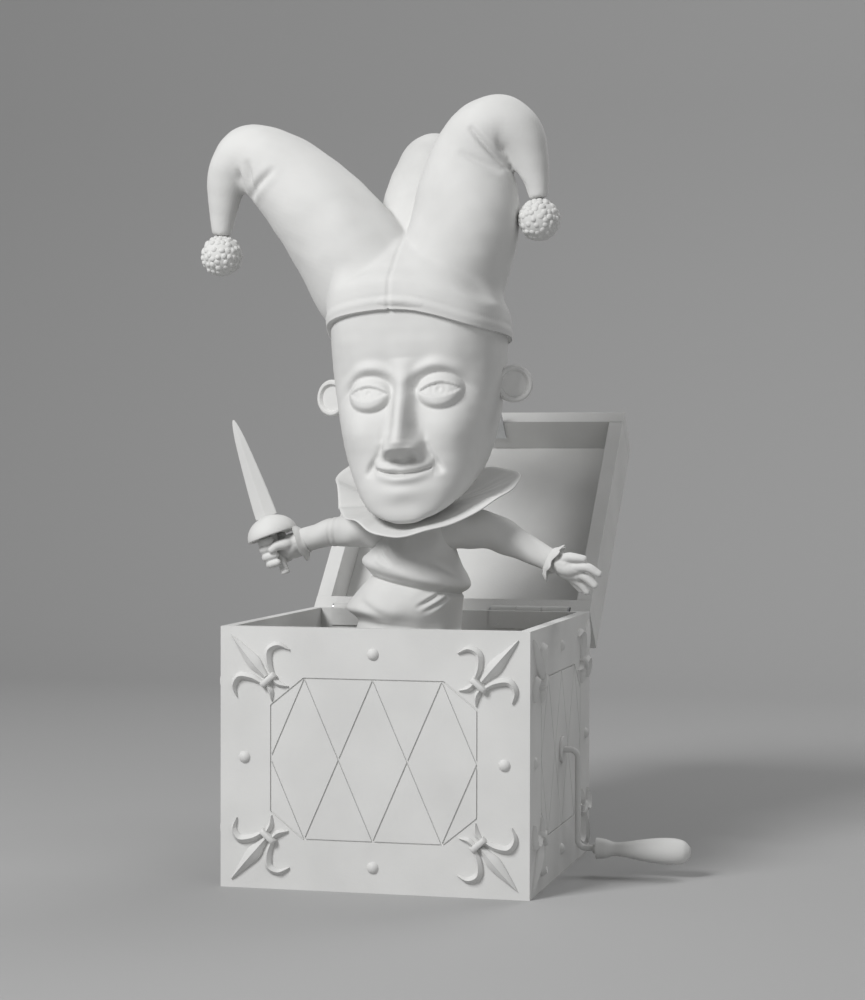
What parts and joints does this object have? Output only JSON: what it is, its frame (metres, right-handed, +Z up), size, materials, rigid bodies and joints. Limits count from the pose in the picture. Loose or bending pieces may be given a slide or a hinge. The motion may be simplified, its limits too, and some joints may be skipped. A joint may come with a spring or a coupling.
{
  "type": "jack in the box",
  "caption": "Open square jack-in-the-box with a hinged lid, a side crank, corner mounts and a three-horned jester standing on its spring with a dagger in one hand.",
  "frame": {"origin": "centre of the box's underside, on the surface that it stands on", "axes": "+Z up, -Y the front of the box that the jester faces, +X the crank side"},
  "size_m": [0.2505, 0.2868, 0.3824],
  "materials": {
    "box_resin": "matte",
    "ornament_resin": "matte",
    "carved_resin": "matte",
    "cloth": "matte",
    "pompom_wool": "matte",
    "steel": "satin",
    "plated_sheet": "satin",
    "brass": "satin",
    "beech": "matte"
  },
  "bodies": {
    "box": {"floor_board": "box_resin", "front_panel": "box_resin", "back_panel": "box_resin", "left_panel": "box_resin", "right_panel": "box_resin", "front_corner_mounts": "ornament_resin", "back_corner_mounts": "ornament_resin", "left_corner_mounts": "ornament_resin", "right_corner_mounts": "ornament_resin", "dome_nails": "ornament_resin", "box_hinge_leaves": "ornament_resin", "hinge_pins": "steel", "hinge_screws": "steel", "crank_bush": "carved_resin", "movement_frame": "plated_sheet", "comb_block": "plated_sheet", "music_comb": "steel", "catch_bracket": "plated_sheet", "rock_shaft_bracket": "plated_sheet", "spring_seat": "beech", "main_spring": "steel", "body_cloth": "cloth"},
    "lid": {"lid_front_rail": "box_resin", "lid_back_rail": "box_resin", "lid_left_rail": "box_resin", "lid_right_rail": "box_resin", "lid_board": "box_resin", "lid_strike": "plated_sheet", "lid_hinge_leaves": "ornament_resin", "lid_hinge_screws": "steel"},
    "crank": {"crank_rod": "steel", "crank_pinion": "brass"},
    "grip": {"crank_grip": "carved_resin"},
    "drum": {"music_drum": "brass", "drum_gear": "brass", "drum_axle": "steel"},
    "catch": {"catch_lever": "steel"},
    "figure": {"figure_plate": "beech", "shoulder_block": "beech", "neck_dowel": "beech", "ruff": "cloth", "head": "carved_resin", "left_ear": "carved_resin", "right_ear": "carved_resin", "hat_left_gore": "cloth", "hat_right_gore": "cloth", "hat_rear_gore": "cloth", "pompoms": "pompom_wool"},
    "left_arm": {"left_arm_wire": "steel", "left_sleeve": "cloth", "left_cuff": "cloth", "left_hand": "carved_resin", "dagger_blade": "carved_resin", "dagger_guard": "carved_resin", "dagger_grip": "carved_resin"},
    "right_arm": {"right_arm_wire": "steel", "right_sleeve": "cloth", "right_cuff": "cloth", "right_hand": "carved_resin"}
  },
  "joints": [
    {"name": "lid_swing", "type": "hinge", "parent": "box", "child": "lid", "pos_m": [0, 0.0765, 0.124], "axis": [1, 0, 0], "range_deg": [0, 50]},
    {"name": "crank_spin", "type": "hinge", "parent": "box", "child": "crank", "pos_m": [0.0834, 0, 0.061], "axis": [1, 0, 0], "continuous": true},
    {"name": "grip_spin", "type": "hinge", "parent": "crank", "child": "grip", "pos_m": [0.11, 0, 0.013], "axis": [1, 0, 0], "continuous": true},
    {"name": "drum_spin", "type": "hinge", "parent": "box", "child": "drum", "pos_m": [0.055, 0.0225, 0.061], "axis": [1, 0, 0], "continuous": true},
    {"name": "catch_swing", "type": "hinge", "parent": "box", "child": "catch", "pos_m": [0, -0.062, 0.082], "axis": [1, 0, 0], "range_deg": [-6, 0], "stiffness_Nm_per_rad": 0.05, "springref_deg": 20.05},
    {"name": "figure_rise", "type": "slide", "parent": "box", "child": "figure", "axis": [0, 0, 1], "range_m": [-0.012, 0.01], "stiffness_N_per_m": 900, "deforming": ["main_spring", "body_cloth"]},
    {"name": "left_arm_swing", "type": "hinge", "parent": "figure", "child": "left_arm", "pos_m": [-0.01, 0, 0.1675], "axis": [0, 0, 1], "range_deg": [-12, 12]},
    {"name": "right_arm_swing", "type": "hinge", "parent": "figure", "child": "right_arm", "pos_m": [0.01, 0, 0.1675], "axis": [0, 0, 1], "range_deg": [-12, 12]}
  ],
  "couplings": [
    {"joint": "drum_spin", "follows": "crank_spin", "ratio": -0.33333}
  ]
}
